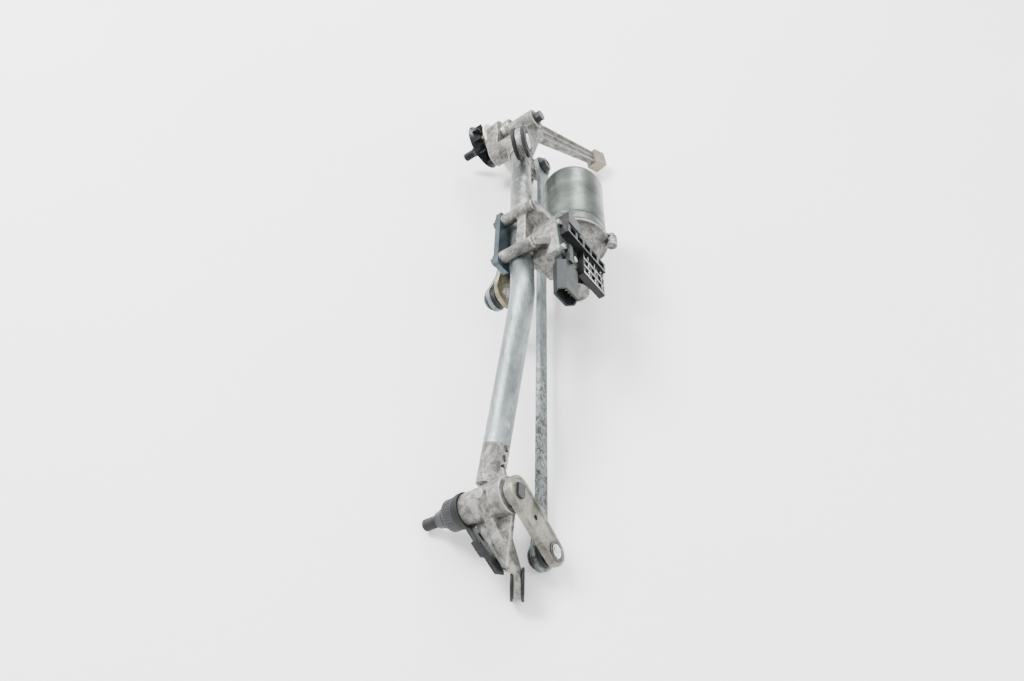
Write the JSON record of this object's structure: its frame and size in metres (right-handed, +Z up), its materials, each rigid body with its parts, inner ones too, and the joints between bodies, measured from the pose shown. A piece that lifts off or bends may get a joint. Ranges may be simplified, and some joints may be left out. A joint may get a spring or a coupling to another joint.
{
  "type": "windshield wiper linkage",
  "caption": "Windshield wiper linkage with its motor: a bent tube joins a pivot housing at each end, and a geared motor drives the spindles through a crank and ball-jointed rods.",
  "frame": {"origin": "centre of the bounding box at the bench surface, with the linkage lying on its lower spindle tip, lower mount and locating arm", "axes": "+Z up from the bench, +Y from the lower pivot to the upper pivot, +X towards the motor side"},
  "size_m": [0.1742, 0.5886, 0.1159],
  "materials": {
    "tube_zinc": "zinc-plated steel tube, dulled",
    "cast_alloy": "die-cast alloy, stained",
    "dark_steel": "black-coated steel",
    "lever_steel": "plated steel lever",
    "bright_steel": "bright steel",
    "sintered_bronze": "sintered bronze",
    "black_rubber": "black rubber",
    "cream_foam": "cream foam",
    "black_plastic": "black moulded plastic",
    "grey_plastic": "grey moulded plastic",
    "sleeve_zinc": "bright zinc",
    "beige_plastic": "beige plastic cap",
    "clamp_zinc": "blue-grey zinc",
    "cover_zinc": "grey-green zinc",
    "can_zinc": "dull zinc, stained",
    "magnet_ferrite": "ferrite",
    "copper_winding": "enamelled copper winding and core",
    "carbon": "carbon brush",
    "wheel_nylon": "natural nylon",
    "crank_steel": "greased steel crank",
    "rod_zinc": "zinc-plated steel rod, oxidised",
    "pin_brass": "contact brass"
  },
  "bodies": {
    "frame": {"main_tube": "tube_zinc", "upper_pivot_housing": "cast_alloy", "lower_pivot_housing": "cast_alloy", "upper_bushes": "sintered_bronze", "lower_bushes": "sintered_bronze", "upper_splash_cap": "black_plastic", "upper_gasket": "cream_foam", "lower_seal": "black_rubber", "lower_ring_nut": "dark_steel", "upper_mount_grommet": "black_rubber", "upper_mount_sleeve": "sleeve_zinc", "lower_mount_grommet": "black_rubber", "lower_mount_sleeve": "sleeve_zinc", "rear_boss_bolt": "dark_steel", "locating_arm_cap": "beige_plastic", "lower_clip_bracket": "black_plastic", "clamp_plate": "clamp_zinc", "clamp_screws": "clamp_zinc", "gearbox_housing": "cast_alloy", "gearbox_cover": "cover_zinc", "cover_screws": "bright_steel", "motor_can": "can_zinc", "can_screws": "clamp_zinc", "magnets": "magnet_ferrite", "end_bearing": "sintered_bronze", "drive_end_bearing": "sintered_bronze", "brush_plate": "black_plastic", "brushes": "carbon", "output_bushes": "sintered_bronze", "contact_frame": "black_plastic", "connector_shroud": "grey_plastic", "connector_pins": "pin_brass", "motor_plug": "black_plastic", "lead_strip": "black_plastic"},
    "crank": {"worm_wheel": "wheel_nylon", "output_shaft": "bright_steel", "crank_arm": "crank_steel", "crank_nut": "crank_steel", "crank_stud": "bright_steel"},
    "armature": {"armature_shaft": "bright_steel", "armature_core": "copper_winding", "commutator": "copper_winding"},
    "upper_wiper_spindle": {"upper_spindle": "dark_steel", "upper_lever": "lever_steel", "upper_lever_balls": "bright_steel", "upper_circlip": "dark_steel", "upper_thrust_washer": "bright_steel"},
    "lower_wiper_spindle": {"lower_spindle": "dark_steel", "lower_lever": "lever_steel", "lower_lever_ball": "bright_steel", "lower_circlip": "dark_steel", "lower_thrust_washer": "bright_steel", "lower_collar": "dark_steel"},
    "coupling": {"coupling_rod": "rod_zinc", "coupling_rod_sockets": "black_plastic"},
    "drive": {"drive_rod": "rod_zinc", "drive_rod_sockets": "grey_plastic", "crank_ball": "bright_steel"}
  },
  "joints": [
    {"name": "crank_turn", "type": "hinge", "parent": "frame", "child": "crank", "pos_m": [-0.02188, 0.02738, 0.04686], "axis": [-0.8039, 0.0156, -0.5946], "range_deg": [0, 180]},
    {"name": "armature_spin", "type": "hinge", "parent": "frame", "child": "armature", "pos_m": [0.0394, 0.06902, 0.06096], "axis": [0, 0.9997, 0.0262], "range_deg": [-11161, 1]},
    {"name": "upper_spindle_turn", "type": "hinge", "parent": "frame", "child": "upper_wiper_spindle", "pos_m": [-0.02905, 0.26617, 0.05776], "axis": [-0.8039, 0.0156, -0.5946], "range_deg": [-87.57, 0]},
    {"name": "lower_spindle_turn", "type": "hinge", "parent": "frame", "child": "lower_wiper_spindle", "pos_m": [-0.01137, -0.231, 0.05783], "axis": [-0.8039, 0.0156, -0.5946], "range_deg": [-87.57, 0]},
    {"name": "coupling_swing", "type": "hinge", "parent": "upper_wiper_spindle", "child": "coupling", "pos_m": [0.00762, 0.23809, 0.02594], "axis": [-0.8039, 0.0156, -0.5946], "range_deg": [0, 87.57]},
    {"name": "drive_swing", "type": "hinge", "parent": "upper_wiper_spindle", "child": "drive", "pos_m": [-0.01006, 0.23844, 0.01286], "axis": [-0.8039, 0.0156, -0.5946], "range_deg": [0, 80.86]}
  ],
  "couplings": [
    {"joint": "armature_spin", "follows": "crank_turn", "ratio": -62},
    {"joint": "upper_spindle_turn", "follows": "crank_turn", "ratio": -0.4864},
    {"joint": "lower_spindle_turn", "follows": "crank_turn", "ratio": -0.4864},
    {"joint": "coupling_swing", "follows": "crank_turn", "ratio": 0.4864},
    {"joint": "drive_swing", "follows": "crank_turn", "ratio": 0.44912}
  ]
}
